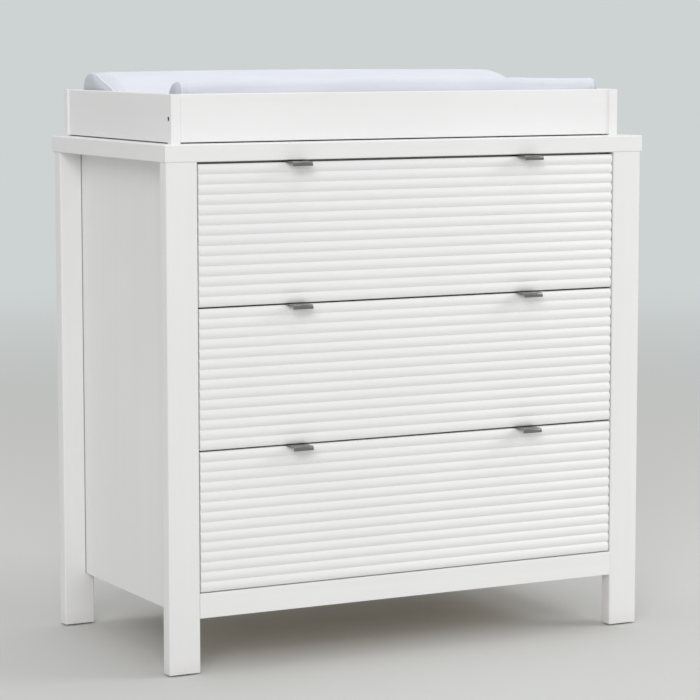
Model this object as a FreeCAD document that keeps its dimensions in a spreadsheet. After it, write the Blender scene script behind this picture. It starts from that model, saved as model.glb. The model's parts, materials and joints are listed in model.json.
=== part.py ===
import FreeCAD, Part
import Sketcher
import os

# Changing dresser: a painted three-drawer chest on four board legs, with reeded drawer
# fronts, a railed changing tray screwed to the top and a contoured pad lying in the tray.
# Millimetres. +Z is up, -Y is the front. The origin is on the floor, under the middle of
# the whole piece of furniture, tab pulls and tray plates included.

SIZES = {
    # carcass
    "leg_span_width": 903.5,
    "leg_span_depth": 475.0,
    "leg_width": 55.0,
    "leg_depth": 26.0,
    "leg_edge_radius": 2.5,
    "glide_height": 3.0,
    "glide_radius": 9.0,
    "case_height": 836.0,
    "case_floor_gap": 92.0,
    "side_panel_thickness": 15.0,
    "rail_height": 41.0,
    "rail_thickness": 18.0,
    "rail_edge_radius": 1.2,
    "front_setback": 0.5,
    "stretcher_width": 60.0,
    "back_thickness": 3.0,
    "back_inset": 4.0,
    "back_top_drop": 20.0,
    "back_edge_gap": 0.5,
    "slab_thickness": 28.0,
    "slab_side_overhang": 2.25,
    "slab_front_overhang": 1.5,
    "slab_rear_overhang": 5.5,
    "slab_edge_radius": 2.0,
    "anchor_spacing": 600.0,
    "anchor_drop": 10.0,
    "anchor_hole_radius": 2.0,
    "anchor_hole_depth": 14.0,
    # drawers
    "drawer_gap": 2.8,
    "top_gap": 3.8,
    "bottom_gap": 1.6,
    "drawer_side_gap": 2.5,
    "front_thickness": 18.0,
    "reed_count": 14.0,
    "reed_depth": 3.0,
    "reed_valley": 0.8,
    "box_side_thickness": 12.0,
    "box_height": 160.0,
    "box_rear_gap": 44.5,
    "box_lift": 14.0,
    "box_edge_chamfer": 1.2,
    "bottom_thickness": 4.0,
    "groove_depth": 5.0,
    "groove_height": 10.0,
    "groove_clearance": 0.2,
    # tab pulls
    "pull_length": 36.0,
    "pull_projection": 27.0,
    "pull_thickness": 1.8,
    "pull_lip": 7.2,
    "pull_flange": 16.0,
    "pull_offset": 220.0,
    "pull_bend_radius": 2.4,
    # roller slides
    "slide_space": 12.5,
    "slide_inset": 5.0,
    "slide_metal": 1.2,
    "slide_seat": 11.0,
    "channel_width": 10.0,
    "channel_headroom": 2.7,
    "runner_inset": 3.2,
    "roller_radius": 9.0,
    "roller_width": 7.0,
    "roller_end_gap": 0.8,
    "roller_floor_gap": 0.5,
    "roller_clearance": 0.2,
    "roller_from_end": 13.0,
    "axle_radius": 2.5,
    "axle_clearance": 0.05,
    # changing tray
    "tray_side_inset": 25.35,
    "tray_front_inset": 35.0,
    "tray_height": 80.0,
    "tray_board": 17.0,
    "tray_back_board": 13.7,
    "tray_back_overhang": 3.5,
    "tray_front_recess": 3.0,
    "tray_relief": 2.0,
    "tray_foot": 14.0,
    "tray_edge_radius": 1.5,
    "screw_head_radius": 3.8,
    "screw_head_height": 2.2,
    "screw_radius": 2.0,
    "screw_length": 38.0,
    "screw_clearance": 0.3,
    "counterbore_depth": 4.0,
    "counterbore_clearance": 0.6,
    "tray_plate_thickness": 2.0,
    "tray_plate_width": 22.0,
    "tray_plate_height": 50.0,
    "tray_plate_drop": 24.0,
    "tray_plate_corner": 3.0,
    "tray_plate_offset": 300.0,
    "plate_screw_inset": 12.0,
    "plate_screw_length": 12.0,
    # changing pad
    "pad_clearance": 2.9,
    "pad_front_height": 101.0,
    "pad_front_crest": 19.0,
    "pad_front_hump": 43.0,
    "pad_front_hump_height": 80.0,
    "pad_rear_height": 111.0,
    "pad_rear_crest": 26.0,
    "pad_rear_hump": 110.0,
    "pad_rear_hump_height": 92.0,
    "pad_valley_sag": 31.0,
    "pad_side_height": 84.0,
    "pad_side_bow": 3.0,
    "pad_shoulder_bow": 7.0,
    "pad_crest_bow": 3.0,
    "pad_foot_inset": 3.0,
    "pad_end_round": 22.0,
    "pad_end_drop": 18.0,
    "pad_end_inset": 7.0,
    "pad_crown": 2.0,
}

LEVELS = ("bottom", "middle", "top")
SIDES = {"left": 1, "right": -1}
ENDS = {"front": 1, "rear": -1}
PLANE_NORMAL = {"XY_Plane": 1, "XZ_Plane": -1, "YZ_Plane": 1}
CUT_MARGIN = 2.0
STRAIGHT = 0.999
SAME_PLACE = 0.01
PAD_END_STEPS = (0.0, 0.25, 1.0)

doc = FreeCAD.newDocument("changing_dresser")


# ---- sizes that carry both their value and their sheet expression ----

class Size:
    """A length together with the sheet expression that gives it."""

    def __init__(self, value, text):
        self.value = value
        self.text = text

    def __add__(self, other):
        other = as_size(other)
        return Size(self.value + other.value, f"({self.text} + {other.text})")

    def __sub__(self, other):
        other = as_size(other)
        return Size(self.value - other.value, f"({self.text} - {other.text})")

    def __mul__(self, other):
        other = as_size(other)
        return Size(self.value * other.value, f"({self.text} * {other.text})")

    def __truediv__(self, other):
        other = as_size(other)
        return Size(self.value / other.value, f"({self.text} / {other.text})")

    def __pow__(self, power):
        return Size(self.value ** power, f"({self.text} ^ {float(power)})")

    def __radd__(self, other):
        return as_size(other) + self

    def __rsub__(self, other):
        return as_size(other) - self

    def __rmul__(self, other):
        return as_size(other) * self

    def __neg__(self):
        return as_size(0) - self


def as_size(number):
    if isinstance(number, Size):
        return number
    return Size(float(number), f"({float(number)})")


def write_sheet(sizes):
    sheet = doc.addObject("Spreadsheet::Sheet", "Sizes")
    for row, (name, value) in enumerate(sizes.items(), start=1):
        sheet.set(f"A{row}", name)
        sheet.set(f"B{row}", str(value))
        sheet.setAlias(f"B{row}", name)
    doc.recompute()
    return {name: Size(value, f"Sizes.{name}") for name, value in sizes.items()}


def bind(item, path, size):
    item.setExpression(path, as_size(size).text)


S = write_sheet(SIZES)


# ---- sketches and features ----

def new_body(name, x, y, z):
    body = doc.addObject("PartDesign::Body", name)
    body.Label = name
    body.AllowCompound = True
    for axis, size in zip("xyz", (x, y, z)):
        bind(body, f"Placement.Base.{axis}", size)
    return body


def origin_feature(body, role):
    for feature in body.Origin.OriginFeatures:
        if feature.Role == role:
            return feature
    raise LookupError(role)


def sketch_on(body, role, offset=0):
    """A sketch on one of the body's own planes, moved along the axis square to it."""
    sketch = body.newObject("Sketcher::SketchObject", f"{body.Name}_sketch")
    sketch.AttachmentSupport = (origin_feature(body, role), [""])
    sketch.MapMode = "FlatFace"
    bind(sketch, "AttachmentOffset.Base.z", as_size(offset) * PLANE_NORMAL[role])
    return sketch


def pin_point(sketch, geometry, point, x, y):
    """Holds one point of the sketch at x, y from its origin."""
    for kind, size in (("DistanceX", x), ("DistanceY", y)):
        size = as_size(size)
        number = sketch.addConstraint(
            Sketcher.Constraint(kind, -1, 1, geometry, point, size.value))
        label = f"{kind.lower()}_{number}"
        sketch.renameConstraint(number, label)
        bind(sketch, f"Constraints.{label}", size)


def hold_radius(sketch, geometry, radius):
    number = sketch.addConstraint(Sketcher.Constraint("Radius", geometry, radius.value))
    label = f"radius_{number}"
    sketch.renameConstraint(number, label)
    bind(sketch, f"Constraints.{label}", radius)


def flat(x, y):
    return FreeCAD.Vector(as_size(x).value, as_size(y).value, 0)


def draw_outline(sketch, corners, arcs=None):
    """A closed outline; arcs maps a corner's number to the (radius, x, y) of an arc that
    leaves it, where x, y is a point that the arc passes on its way to the next corner."""
    arcs = arcs or {}
    pieces = []
    for number, (x, y) in enumerate(corners):
        end = corners[(number + 1) % len(corners)]
        if number in arcs:
            radius, middle_x, middle_y = arcs[number]
            curve = Part.Arc(flat(x, y), flat(middle_x, middle_y), flat(*end))
            pieces.append(sketch.addGeometry(curve, False))
        else:
            pieces.append(sketch.addGeometry(Part.LineSegment(flat(x, y), flat(*end)), False))
    for number, (x, y) in enumerate(corners):
        here, before = pieces[number], pieces[number - 1]
        start = point_at(sketch, here, flat(x, y))
        stop = point_at(sketch, before, flat(x, y))
        pin_point(sketch, here, start, x, y)
        sketch.addConstraint(Sketcher.Constraint("Coincident", before, stop, here, start))
    for number, (radius, middle_x, middle_y) in arcs.items():
        hold_radius(sketch, pieces[number], radius)


def bowed(start, end, bow, way=1):
    """The arc from start to end that stands off its chord by bow, to the right of the way
    from start to end, or to the left of it where way is -1."""
    run = end[0] - start[0]
    rise = end[1] - start[1]
    chord = (run * run + rise * rise) ** 0.5
    radius = (chord * chord / 4 + bow * bow) / (2 * bow)
    middle_x = (start[0] + end[0]) / 2 + rise / chord * bow * way
    middle_y = (start[1] + end[1]) / 2 - run / chord * bow * way
    return radius, middle_x, middle_y


def point_at(sketch, geometry, place):
    """1 for the start of a sketch curve and 2 for its end, whichever lies at place."""
    start = sketch.getPoint(geometry, 1)
    end = sketch.getPoint(geometry, 2)
    return 1 if start.distanceToPoint(place) < end.distanceToPoint(place) else 2


def draw_circles(sketch, centres, radius):
    for x, y in centres:
        circle = Part.Circle(flat(x, y), FreeCAD.Vector(0, 0, 1), as_size(radius).value)
        number = sketch.addGeometry(circle, False)
        pin_point(sketch, number, 3, x, y)
        hold_radius(sketch, number, as_size(radius))


def box_corners(x0, y0, x1, y1):
    return [(x0, y0), (x1, y0), (x1, y1), (x0, y1)]


def add_feature(body, kind, sketch, role, length, way):
    """A pad or pocket that runs the way (+1 or -1) along the axis square to its plane."""
    before = body.Shape.Volume if body.Tip else 0.0
    feature = body.newObject(f"PartDesign::{kind}", f"{body.Name}_{kind.lower()}")
    feature.Profile = (sketch, [""])
    along_normal = way == PLANE_NORMAL[role]
    feature.Reversed = not along_normal if kind == "Pad" else along_normal
    bind(feature, "Length", length)
    doc.recompute()
    gain = body.Shape.Volume - before
    if (gain <= 0) == (kind == "Pad"):
        raise ValueError(f"{feature.Name} leaves {body.Label} as it was")
    return feature


def pad(body, sketch, role, length, way=1):
    return add_feature(body, "Pad", sketch, role, length, way)


def pocket(body, sketch, role, length, way=1):
    return add_feature(body, "Pocket", sketch, role, length, way)


def drill(body, role, offset, centres, radius, depth, way):
    """Round holes sunk from the plane at the given offset."""
    sketch = sketch_on(body, role, offset)
    draw_circles(sketch, centres, radius)
    return pocket(body, sketch, role, depth, way)


def edges_along(body, axis, keep=None):
    """Names of the tip's straight edges along an axis (0, 1 or 2) that keep accepts."""
    names = []
    for number, edge in enumerate(body.Tip.Shape.Edges, start=1):
        if len(edge.Vertexes) < 2 or not isinstance(edge.Curve, Part.Line):
            continue
        run = edge.Vertexes[1].Point - edge.Vertexes[0].Point
        straight = abs(run[axis]) > STRAIGHT * run.Length
        if straight and (keep is None or keep(edge.CenterOfMass)):
            names.append(f"Edge{number}")
    return names


def dress(body, kind, names, size):
    """A fillet or chamfer over the named edges of the body's tip."""
    base = body.Tip
    feature = body.newObject(f"PartDesign::{kind}", f"{body.Name}_{kind.lower()}")
    feature.Base = (base, names)
    bind(feature, "Radius" if kind == "Fillet" else "Size", size)
    doc.recompute()
    return feature


def board(name, x, y, z, width, depth, height, rounded=(), radius=None):
    """A rectangular board with its low corner at x, y, z; rounded names the axes whose
    edges are eased."""
    body = new_body(name, x, y, z)
    sketch = sketch_on(body, "XY_Plane")
    draw_outline(sketch, box_corners(0, 0, width, depth))
    pad(body, sketch, "XY_Plane", height)
    names = []
    for axis in rounded:
        names += edges_along(body, axis)
    if names:
        dress(body, "Fillet", names, radius)
    return body


def spin(body, sketch, axis):
    """Turns the sketch all the way round one of its own axes."""
    feature = body.newObject("PartDesign::Revolution", f"{body.Name}_revolution")
    feature.Profile = (sketch, [""])
    feature.ReferenceAxis = (sketch, [axis])
    feature.Angle = 360
    doc.recompute()
    return feature


def mirrored_pair(body, feature):
    """Repeats a feature on the other side of the body's YZ plane."""
    mirror = body.newObject("PartDesign::Mirrored", f"{body.Name}_mirror")
    mirror.Originals = [feature]
    mirror.MirrorPlane = (origin_feature(body, "YZ_Plane"), [""])
    body.Tip = mirror
    doc.recompute()
    return mirror


def group(name, members):
    compound = doc.addObject("Part::Compound", name)
    compound.Label = name
    compound.Links = members
    doc.recompute()
    return compound


# ---- places worked out from the sizes ----

HALF_SPAN = S["leg_span_width"] / 2
INNER = HALF_SPAN - S["leg_width"]
TRAY_PLATE_DEPTH = S["tray_plate_thickness"] + S["screw_head_height"]
FRONT = (S["pull_projection"] - S["front_setback"] - S["leg_span_depth"]
         - S["slab_rear_overhang"] - TRAY_PLATE_DEPTH) / 2
REAR = FRONT + S["leg_span_depth"]
SLAB_TOP = S["case_height"] + S["slab_thickness"]
SLAB_REAR = REAR + S["slab_rear_overhang"]
PANEL_DEPTH = S["leg_span_depth"] - 2 * S["leg_depth"]
PANEL_HEIGHT = S["case_height"] - S["case_floor_gap"]

OPENING_BOTTOM = S["case_floor_gap"] + S["rail_height"]
FRONT_HEIGHT = (S["case_height"] - OPENING_BOTTOM - S["top_gap"] - S["bottom_gap"]
                - (len(LEVELS) - 1) * S["drawer_gap"]) / len(LEVELS)
FRONT_FACE = FRONT + S["front_setback"]
FRONT_BACK = FRONT_FACE + S["front_thickness"]
BOX_OUTER = INNER - S["slide_space"]
BOX_INNER = BOX_OUTER - S["box_side_thickness"]
BACK_PANEL_FRONT = REAR - S["back_inset"] - S["back_thickness"]
BOX_DEPTH = BACK_PANEL_FRONT - S["box_rear_gap"] - FRONT_BACK
SLIDE_FRONT = FRONT_BACK + S["slide_inset"]
SLIDE_LENGTH = BOX_DEPTH - S["slide_inset"]
GROOVE_TOP = S["groove_height"] + S["bottom_thickness"] + S["groove_clearance"]

RUNNER_HEIGHT = (S["slide_metal"] + S["roller_floor_gap"] + 2 * S["roller_radius"]
                 + S["roller_clearance"])
CHANNEL_HEIGHT = RUNNER_HEIGHT + 2 * S["slide_metal"] + S["channel_headroom"]
CABINET_AXIS = S["slide_metal"] + S["roller_floor_gap"] + S["roller_radius"]
DRAWER_AXIS = S["slide_metal"] + S["roller_clearance"] + S["roller_radius"]
ROLLER_BORE = S["axle_radius"] + S["axle_clearance"]
CABINET_ROLLER = S["slide_metal"] + S["roller_end_gap"]
DRAWER_ROLLER = S["slide_space"] - S["slide_metal"] - S["roller_end_gap"] - S["roller_width"]

TRAY_HALF = HALF_SPAN - S["tray_side_inset"]
TRAY_INNER = TRAY_HALF - S["tray_board"]
TRAY_FRONT = FRONT + S["tray_front_inset"]
TRAY_BACK = SLAB_REAR - S["tray_back_board"]
TRAY_DEPTH = TRAY_BACK - TRAY_FRONT
TRAY_MIDDLE = S["tray_height"] / 2
COUNTERBORE = S["screw_head_radius"] + S["counterbore_clearance"]
SCREW_HOLE = S["screw_radius"] + S["screw_clearance"]
LOWER_PLATE_SCREW = S["plate_screw_inset"] - S["tray_plate_drop"]
UPPER_PLATE_SCREW = S["tray_plate_height"] - S["tray_plate_drop"] - S["plate_screw_inset"]
PLATE_SCREW_SUNK = S["plate_screw_length"] - S["tray_plate_thickness"]
TRAY_FLOOR_FRONT = TRAY_FRONT + S["tray_front_recess"] + S["tray_board"]
PAD_MIDDLE = (TRAY_FLOOR_FRONT + TRAY_BACK) / 2
PAD_HALF_DEPTH = (TRAY_BACK - TRAY_FLOOR_FRONT) / 2 - S["pad_clearance"]
PAD_HALF_LENGTH = TRAY_INNER - S["pad_clearance"]


def front_bottom(level):
    """Height of the underside of a drawer front; level 0 is the lowest drawer."""
    return OPENING_BOTTOM + S["bottom_gap"] + level * (FRONT_HEIGHT + S["drawer_gap"])


def box_bottom(level):
    return front_bottom(level) + S["box_lift"]


# ---- carcass ----

def leg(name, side, end):
    """An upright board; its local origin is its inner corner where the side panel ends."""
    joint = FRONT + S["leg_depth"] if end > 0 else REAR - S["leg_depth"]
    body = new_body(name, -side * INNER, joint, S["glide_height"])
    sketch = sketch_on(body, "XY_Plane")
    draw_outline(sketch, box_corners(0, 0, -side * S["leg_width"], -end * S["leg_depth"]))
    pad(body, sketch, "XY_Plane", S["case_height"] - S["glide_height"])
    dress(body, "Fillet", edges_along(body, 2), S["leg_edge_radius"])
    return body


def side_panel(name, side):
    """A panel between a front and a rear leg, flush with their inner faces."""
    body = new_body(name, -side * INNER, FRONT + S["leg_depth"], S["case_floor_gap"])
    sketch = sketch_on(body, "XY_Plane")
    draw_outline(sketch, box_corners(0, 0, -side * S["side_panel_thickness"], PANEL_DEPTH))
    pad(body, sketch, "XY_Plane", PANEL_HEIGHT)
    return body


def leg_glides(name):
    """Four plastic glides, one under each leg."""
    body = new_body(name, 0, FRONT, 0)
    across = HALF_SPAN - S["leg_width"] / 2
    runs = (S["leg_depth"] / 2, S["leg_span_depth"] - S["leg_depth"] / 2)
    sketch = sketch_on(body, "XY_Plane")
    centres = [(side * across, run) for side in SIDES.values() for run in runs]
    draw_circles(sketch, centres, S["glide_radius"])
    pad(body, sketch, "XY_Plane", S["glide_height"])
    return body


def between_legs(name, y, z, depth, height, rounded=()):
    """A rail or stretcher that runs from one side of the carcass to the other."""
    return board(name, -INNER, y, z, 2 * INNER, depth, height, rounded, S["rail_edge_radius"])


def rails():
    """The two bottom rails, the flat stretcher behind the top drawer front and the upright
    one at the back, which has two pilot holes for a wall anchor."""
    rear_rail = BACK_PANEL_FRONT - S["rail_thickness"]
    thick = S["rail_thickness"]
    wide = S["stretcher_width"]
    top = S["case_height"]
    front_bottom_rail = between_legs("front_bottom_rail", FRONT_FACE, S["case_floor_gap"],
                                     thick, S["rail_height"], (0,))
    rear_bottom_rail = between_legs("rear_bottom_rail", rear_rail, S["case_floor_gap"],
                                    thick, S["rail_height"])
    front_top = between_legs("front_top_stretcher", FRONT + S["leg_depth"], top - thick,
                             wide, thick)
    rear_top = between_legs("rear_top_stretcher", rear_rail, top - wide, thick, wide)
    anchors = [(INNER - side * S["anchor_spacing"] / 2, S["stretcher_width"] - S["anchor_drop"])
               for side in SIDES.values()]
    drill(rear_top, "XZ_Plane", thick, anchors,
          S["anchor_hole_radius"], S["anchor_hole_depth"], -1)
    return [front_bottom_rail, rear_bottom_rail, front_top, rear_top]


def back_panel(name):
    half = INNER - S["back_edge_gap"]
    height = PANEL_HEIGHT - S["back_top_drop"]
    return board(name, -half, BACK_PANEL_FRONT, S["case_floor_gap"], 2 * half,
                 S["back_thickness"], height)


def top_slab(name):
    half = HALF_SPAN + S["slab_side_overhang"]
    depth = S["leg_span_depth"] + S["slab_front_overhang"] + S["slab_rear_overhang"]
    body = board(name, -half, FRONT - S["slab_front_overhang"], S["case_height"],
                 2 * half, depth, S["slab_thickness"], (0, 1), S["slab_edge_radius"])
    centres = [(half + side * S["tray_plate_offset"], S["slab_thickness"] + LOWER_PLATE_SCREW)
               for side in SIDES.values()]
    drill(body, "XZ_Plane", depth, centres, S["screw_radius"], PLATE_SCREW_SUNK, -1)
    return body


# ---- drawers ----

def drawer_front(name, level):
    """A board with convex reeds across its face and a groove for the drawer bottom."""
    half = INNER - S["drawer_side_gap"]
    body = new_body(name, -half, FRONT_FACE, front_bottom(level))
    sketch = sketch_on(body, "YZ_Plane")
    draw_outline(sketch, box_corners(S["reed_depth"], 0, S["front_thickness"], FRONT_HEIGHT))
    pad(body, sketch, "YZ_Plane", 2 * half)
    add_reeds(body, 2 * half)
    groove = sketch_on(body, "YZ_Plane", half - BOX_INNER - S["groove_depth"])
    low = S["box_lift"] + S["groove_height"]
    high = S["box_lift"] + GROOVE_TOP
    inner = S["front_thickness"] - S["groove_depth"]
    draw_outline(groove, box_corners(inner, low, S["front_thickness"] + CUT_MARGIN, high))
    pocket(body, groove, "YZ_Plane", 2 * (BOX_INNER + S["groove_depth"]))
    return body


def add_reeds(body, length):
    """One convex reed on the face, repeated up the front."""
    pitch = FRONT_HEIGHT / S["reed_count"]
    low = S["reed_valley"] / 2
    chord = pitch - S["reed_valley"]
    depth = S["reed_depth"]
    radius = (chord * chord / 4 + depth * depth) / (2 * depth)
    sketch = sketch_on(body, "YZ_Plane")
    draw_outline(sketch, [(depth, low), (depth, low + chord)], {1: (radius, 0, pitch / 2)})
    reed = pad(body, sketch, "YZ_Plane", length)
    pattern = body.newObject("PartDesign::LinearPattern", f"{body.Name}_reeds")
    pattern.Originals = [reed]
    pattern.Direction = (origin_feature(body, "Z_Axis"), [""])
    pattern.Mode = "Spacing"
    bind(pattern, "Offset", pitch)
    bind(pattern, "Occurrences", S["reed_count"])
    body.Tip = pattern
    doc.recompute()


def drawer_side(name, side, level):
    body = new_body(name, -side * BOX_OUTER, FRONT_BACK, box_bottom(level))
    wall = S["box_side_thickness"]
    floor = wall - S["groove_depth"]
    corners = [(0, 0), (side * wall, 0), (side * wall, S["groove_height"]),
               (side * floor, S["groove_height"]), (side * floor, GROOVE_TOP),
               (side * wall, GROOVE_TOP), (side * wall, S["box_height"]), (0, S["box_height"])]
    sketch = sketch_on(body, "XZ_Plane")
    draw_outline(sketch, corners)
    pad(body, sketch, "XZ_Plane", BOX_DEPTH)
    top = edges_along(body, 1, lambda middle: middle.z > S["box_height"].value - CUT_MARGIN)
    dress(body, "Chamfer", top, S["box_edge_chamfer"])
    return body


def drawer_back(name, level):
    wall = S["box_side_thickness"]
    body = new_body(name, -BOX_INNER, FRONT_BACK + BOX_DEPTH - wall, box_bottom(level))
    corners = [(0, 0), (wall, 0), (wall, S["box_height"]), (0, S["box_height"]),
               (0, GROOVE_TOP), (S["groove_depth"], GROOVE_TOP),
               (S["groove_depth"], S["groove_height"]), (0, S["groove_height"])]
    sketch = sketch_on(body, "YZ_Plane")
    draw_outline(sketch, corners)
    pad(body, sketch, "YZ_Plane", 2 * BOX_INNER)
    top = edges_along(body, 0, lambda middle: middle.z > S["box_height"].value - CUT_MARGIN)
    dress(body, "Chamfer", top, S["box_edge_chamfer"])
    return body


def drawer_bottom(name, level):
    """The thin bottom, let into grooves on all four sides."""
    reach = S["groove_depth"] - S["groove_clearance"]
    half = BOX_INNER + reach
    start = FRONT_BACK - reach
    depth = BOX_DEPTH - S["box_side_thickness"] + 2 * reach
    height = box_bottom(level) + S["groove_height"] + S["groove_clearance"] / 2
    return board(name, -half, start, height, 2 * half, depth, S["bottom_thickness"])


def drawer_pulls(name, level):
    """Two bent tabs over the top edge of a drawer front, each with a lip in front and a
    flange behind the front."""
    body = new_body(name, 0, FRONT_FACE, front_bottom(level) + FRONT_HEIGHT)
    metal = S["pull_thickness"]
    lip = metal - S["pull_lip"]
    reach = -S["pull_projection"]
    behind = S["front_thickness"]
    corners = [(reach, lip), (reach + metal, lip), (reach + metal, 0), (behind, 0),
               (behind, -S["pull_flange"]), (behind + metal, -S["pull_flange"]),
               (behind + metal, metal), (reach, metal)]
    bend = S["pull_bend_radius"]
    sketch = sketch_on(body, "YZ_Plane", S["pull_offset"] - S["pull_length"] / 2)
    draw_outline(sketch, corners)
    tab = pad(body, sketch, "YZ_Plane", S["pull_length"])
    mirrored_pair(body, tab)
    on_top = edges_along(body, 0, lambda middle: middle.z > metal.value - SAME_PLACE)
    dress(body, "Fillet", on_top, bend)
    return body


# ---- roller slides ----

def add_axle(body, start, length, way, axis_y, axis_z):
    """The plain axle of a slide's own roller."""
    sketch = sketch_on(body, "YZ_Plane", start)
    draw_circles(sketch, [(axis_y, axis_z)], S["axle_radius"])
    pad(body, sketch, "YZ_Plane", length, way)


def cabinet_slide(name, side, level):
    """A C-shaped channel on the side panel, with the axle of its roller at the front."""
    body = new_body(name, -side * INNER, SLIDE_FRONT, box_bottom(level))
    metal = S["slide_metal"]
    width = S["channel_width"]
    top = CHANNEL_HEIGHT - metal
    corners = [(0, 0), (width, 0), (width, metal), (metal, metal),
               (metal, top), (width, top), (width, CHANNEL_HEIGHT), (0, CHANNEL_HEIGHT)]
    sketch = sketch_on(body, "XZ_Plane")
    draw_outline(sketch, [(side * as_size(x), z) for x, z in corners])
    pad(body, sketch, "XZ_Plane", SLIDE_LENGTH)
    length = CABINET_ROLLER + S["roller_width"] + S["roller_end_gap"]
    add_axle(body, 0, length, side, S["roller_from_end"], CABINET_AXIS)
    return body


def drawer_slide(name, side, level):
    """A runner that carries the drawer side on its foot and rides on the front roller; its
    own roller, at the rear end, runs inside the channel."""
    body = new_body(name, -side * INNER, FRONT_BACK, box_bottom(level))
    metal = S["slide_metal"]
    web = S["slide_space"] - metal
    seat = S["slide_space"] + S["slide_seat"]
    corners = [(web, -metal), (seat, -metal), (seat, 0), (S["slide_space"], 0),
               (S["slide_space"], RUNNER_HEIGHT + metal), (S["runner_inset"], RUNNER_HEIGHT + metal),
               (S["runner_inset"], RUNNER_HEIGHT), (web, RUNNER_HEIGHT)]
    sketch = sketch_on(body, "XZ_Plane")
    draw_outline(sketch, [(side * as_size(x), z) for x, z in corners])
    pad(body, sketch, "XZ_Plane", SLIDE_LENGTH)
    length = S["slide_space"] - DRAWER_ROLLER + S["roller_end_gap"]
    run = SLIDE_LENGTH - S["roller_from_end"]
    add_axle(body, side * S["slide_space"], length, -side, run, DRAWER_AXIS)
    return body


def rollers(name, y, z, start):
    """A left and a right roller on one axis line; start is measured from the side panel."""
    body = new_body(name, 0, y, z)
    corners = box_corners(start, ROLLER_BORE, start + S["roller_width"], S["roller_radius"])
    sketch = sketch_on(body, "XY_Plane")
    for side in SIDES.values():
        draw_outline(sketch, [(side * (x - INNER), y) for x, y in corners])
    spin(body, sketch, "H_Axis")
    return body


# ---- changing tray ----

def screw(name, length, x, y, z, direction):
    """A pan-head screw; its head rests at x, y, z and its shank runs along direction."""
    body = new_body(name, x, y, z)
    turn = FreeCAD.Rotation(FreeCAD.Vector(0, 0, -1), FreeCAD.Vector(*direction))
    body.Placement = FreeCAD.Placement(FreeCAD.Vector(), turn)
    shank = S["screw_radius"]
    head = S["screw_head_radius"]
    corners = [(0, S["screw_head_height"]), (head, S["screw_head_height"]), (head, 0),
               (shank, 0), (shank, -length), (0, -length)]
    sketch = sketch_on(body, "XZ_Plane")
    draw_outline(sketch, corners)
    spin(body, sketch, "V_Axis")
    return body


def tray_side_board(name, side):
    """A side board that stands on its front foot and clears the slab along its length."""
    body = new_body(name, -side * TRAY_HALF, TRAY_FRONT, SLAB_TOP)
    relief = S["tray_relief"]
    corners = [(0, 0), (S["tray_foot"], 0), (S["tray_foot"], relief), (TRAY_DEPTH, relief),
               (TRAY_DEPTH, S["tray_height"]), (0, S["tray_height"])]
    sketch = sketch_on(body, "YZ_Plane")
    draw_outline(sketch, corners)
    pad(body, sketch, "YZ_Plane", S["tray_board"], side)
    top = S["tray_height"].value
    eased = edges_along(body, 1, lambda middle: middle.z > top - CUT_MARGIN)
    eased += edges_along(body, 2, lambda middle: middle.y < CUT_MARGIN)
    dress(body, "Fillet", eased, S["tray_edge_radius"])
    front_screw = [(S["tray_front_recess"] + S["tray_board"] / 2, TRAY_MIDDLE)]
    drill(body, "YZ_Plane", 0, front_screw, COUNTERBORE, S["counterbore_depth"], side)
    drill(body, "YZ_Plane", 0, front_screw, SCREW_HOLE, S["tray_board"], side)
    rear_screw = [(side * S["tray_board"] / 2, TRAY_MIDDLE)]
    sunk = S["screw_length"] + S["counterbore_depth"] - S["tray_back_board"]
    drill(body, "XZ_Plane", TRAY_DEPTH, rear_screw, S["screw_radius"], sunk, -1)
    return body


def tray_front_board(name):
    y = TRAY_FRONT + S["tray_front_recess"]
    height = S["tray_height"] - S["tray_relief"]
    body = board(name, -TRAY_INNER, y, SLAB_TOP + S["tray_relief"], 2 * TRAY_INNER,
                 S["tray_board"], height, (0,), S["tray_edge_radius"])
    sunk = S["screw_length"] + S["counterbore_depth"] - S["tray_board"]
    centre = [(S["tray_board"] / 2, TRAY_MIDDLE - S["tray_relief"])]
    drill(body, "YZ_Plane", 0, centre, S["screw_radius"], sunk, 1)
    drill(body, "YZ_Plane", 2 * TRAY_INNER, centre, S["screw_radius"], sunk, -1)
    return body


def tray_back_board(name):
    """The board across the back, a little wider than the tray, flush with the slab."""
    half = TRAY_HALF + S["tray_back_overhang"]
    body = board(name, -half, TRAY_BACK, SLAB_TOP, 2 * half, S["tray_back_board"],
                 S["tray_height"], (0,), S["tray_edge_radius"])
    across = TRAY_HALF - S["tray_board"] / 2
    corners = [(half + side * across, TRAY_MIDDLE) for side in SIDES.values()]
    rear = S["tray_back_board"]
    drill(body, "XZ_Plane", rear, corners, COUNTERBORE, S["counterbore_depth"], -1)
    drill(body, "XZ_Plane", rear, corners, SCREW_HOLE, rear, -1)
    plates = [(half + side * S["tray_plate_offset"], UPPER_PLATE_SCREW)
              for side in SIDES.values()]
    drill(body, "XZ_Plane", rear, plates, S["screw_radius"], PLATE_SCREW_SUNK, -1)
    return body


def tray_screws(name):
    """Two screws through the side boards into the front board, and two through the back
    board into the side boards, each sunk in a counterbore."""
    height = SLAB_TOP + TRAY_MIDDLE
    sunk = S["counterbore_depth"]
    front = TRAY_FRONT + S["tray_front_recess"] + S["tray_board"] / 2
    across = TRAY_HALF - S["tray_board"] / 2
    members = []
    for word, side in SIDES.items():
        members.append(screw(f"{name}_{word}_front", S["screw_length"],
                             side * (sunk - TRAY_HALF), front, height, (side, 0, 0)))
        members.append(screw(f"{name}_{word}_rear", S["screw_length"],
                             -side * across, SLAB_REAR - sunk, height, (0, -1, 0)))
    return group(name, members)


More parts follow.
